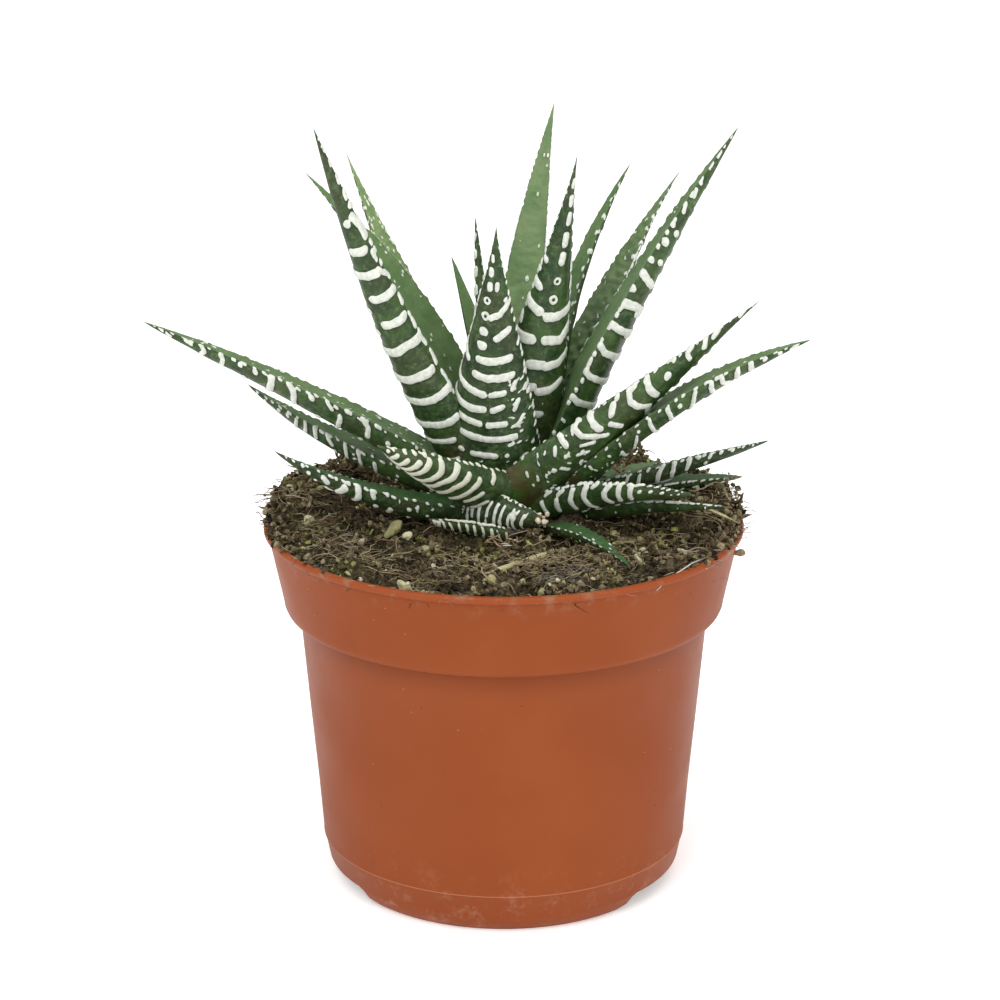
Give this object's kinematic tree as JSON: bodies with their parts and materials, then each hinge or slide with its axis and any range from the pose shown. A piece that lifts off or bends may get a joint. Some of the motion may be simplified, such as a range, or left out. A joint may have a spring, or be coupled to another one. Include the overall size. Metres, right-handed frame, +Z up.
{
  "type": "potted haworthia",
  "caption": "Haworthia rosette with pointed dark green leaves banded in raised white, growing in peat soil in a round terracotta-coloured plastic nursery pot with a stepped collar.",
  "frame": {"origin": "centre of the flat underside of the pot, on the surface it stands on", "axes": "+Z up through the pot, -Y towards the front of the plant as the picture shows it, +X to the right"},
  "size_m": [0.1596, 0.12, 0.196],
  "materials": {
    "pot": "satin",
    "soil": "matte",
    "leaf": "satin",
    "root": "matte",
    "dried_plant": "matte"
  },
  "bodies": {
    "root": {"leaf_heart_left": "leaf", "leaf_heart_back": "leaf", "leaf_heart_plain": "leaf", "leaf_inner_front": "leaf", "leaf_inner_right": "leaf", "leaf_back_right_slim": "leaf", "leaf_back_tall": "leaf", "leaf_back_right": "leaf", "leaf_left_banded": "leaf", "leaf_right_tall": "leaf", "leaf_back_left": "leaf", "leaf_left_behind": "leaf", "leaf_right_upper": "leaf", "leaf_right_middle": "leaf", "leaf_left_long": "leaf", "leaf_back_middle": "leaf", "leaf_left_lower": "leaf", "leaf_back_low_left": "leaf", "leaf_front_curved": "leaf", "leaf_side_low_left": "leaf", "leaf_back_low_right": "leaf", "leaf_front_left_low": "leaf", "leaf_right_low": "leaf", "leaf_front_right_low": "leaf", "leaf_back_flat_right": "leaf", "leaf_back_flat_left": "leaf", "leaf_back_flat": "leaf", "leaf_right_short": "leaf", "leaf_right_under": "leaf", "leaf_front_stub": "leaf", "leaf_front_small": "leaf", "leaf_front_arching": "leaf", "pot": "pot", "soil": "soil", "stem_with_roots": "root", "straw_front": "dried_plant", "straw_right": "dried_plant", "bark_piece": "dried_plant"}
  },
  "joints": []
}
